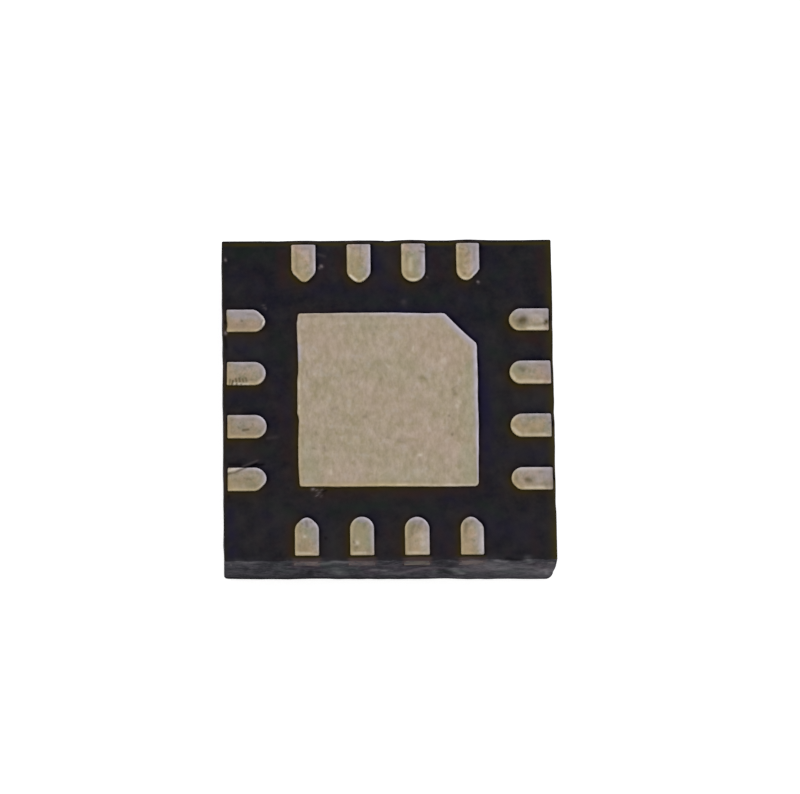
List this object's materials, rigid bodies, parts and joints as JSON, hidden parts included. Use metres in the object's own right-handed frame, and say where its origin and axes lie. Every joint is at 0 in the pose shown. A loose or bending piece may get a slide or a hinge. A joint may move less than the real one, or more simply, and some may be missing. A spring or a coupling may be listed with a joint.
{
  "type": "flash memory chip",
  "caption": "Square surface-mount memory chip without legs: flat soldering lands along every side round a square die pad with a cut corner, in a black moulded body.",
  "frame": {"origin": "middle of the marked face, on which the chip lies", "axes": "+Z from the marked face up to the lands and the die pad; +X to the side of leads 1 to 4; the die pad's cut corner, beside lead 1, lies towards +X and +Y"},
  "size_m": [0.003, 0.003, 0.0008],
  "materials": {
    "mould": "matte",
    "tinned_copper": "matte",
    "adhesive": "satin",
    "silicon": "gloss",
    "wire": "polished"
  },
  "bodies": {
    "root": {"bond_wire_01": "wire", "bond_wire_02": "wire", "bond_wire_03": "wire", "bond_wire_04": "wire", "bond_wire_05": "wire", "bond_wire_06": "wire", "bond_wire_07": "wire", "bond_wire_08": "wire", "bond_wire_09": "wire", "bond_wire_10": "wire", "bond_wire_11": "wire", "bond_wire_12": "wire", "bond_wire_13": "wire", "bond_wire_14": "wire", "bond_wire_15": "wire", "bond_wire_16": "wire", "die_attach": "adhesive", "die_paddle": "tinned_copper", "lead_01": "tinned_copper", "lead_02": "tinned_copper", "lead_03": "tinned_copper", "lead_04": "tinned_copper", "lead_05": "tinned_copper", "lead_06": "tinned_copper", "lead_07": "tinned_copper", "lead_08": "tinned_copper", "lead_09": "tinned_copper", "lead_10": "tinned_copper", "lead_11": "tinned_copper", "lead_12": "tinned_copper", "lead_13": "tinned_copper", "lead_14": "tinned_copper", "lead_15": "tinned_copper", "lead_16": "tinned_copper", "memory_die": "silicon", "moulded_body": "mould"}
  },
  "joints": []
}
